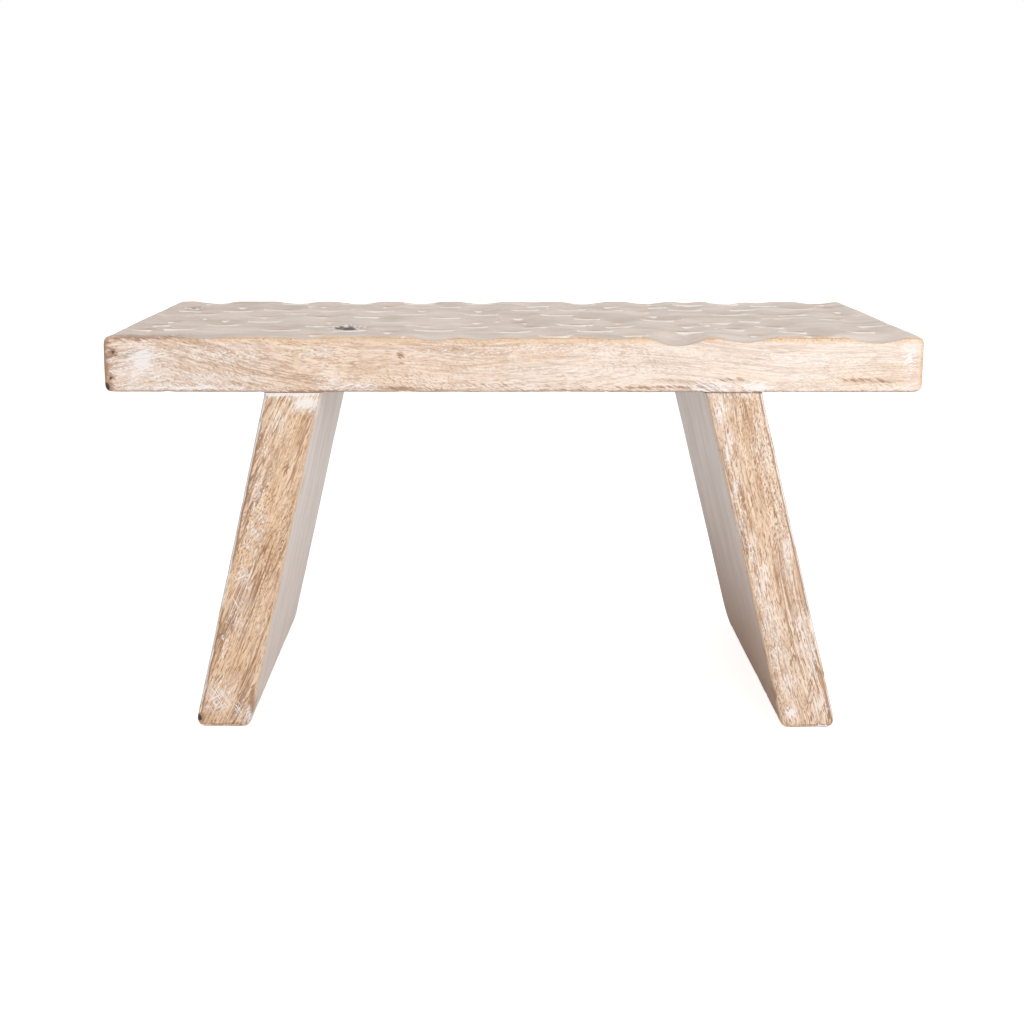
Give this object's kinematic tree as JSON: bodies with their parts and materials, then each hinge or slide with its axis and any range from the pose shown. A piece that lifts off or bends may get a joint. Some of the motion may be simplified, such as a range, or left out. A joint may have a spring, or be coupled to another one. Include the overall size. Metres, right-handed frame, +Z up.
{
  "type": "stool",
  "caption": "Low rectangular stool: a thick wooden slab seat with a hand-carved dimpled top on full-depth plank legs that splay outwards, held by blind dowels.",
  "frame": {"origin": "on the floor, under the middle of the seat", "axes": "+X along the seat from the left leg to the right leg, +Y from the front edge to the back edge, +Z up; the front faces -Y"},
  "size_m": [0.6, 0.25, 0.3],
  "materials": {
    "whitewashed_wood": "matte, bleached and whitewashed, with open grain",
    "dowel_wood": "bare, turned"
  },
  "bodies": {
    "root": {"seat": "whitewashed_wood", "left_leg": "whitewashed_wood", "right_leg": "whitewashed_wood", "left_dowel_1": "dowel_wood", "left_dowel_2": "dowel_wood", "left_dowel_3": "dowel_wood", "left_dowel_4": "dowel_wood", "right_dowel_1": "dowel_wood", "right_dowel_2": "dowel_wood", "right_dowel_3": "dowel_wood", "right_dowel_4": "dowel_wood"}
  },
  "joints": []
}
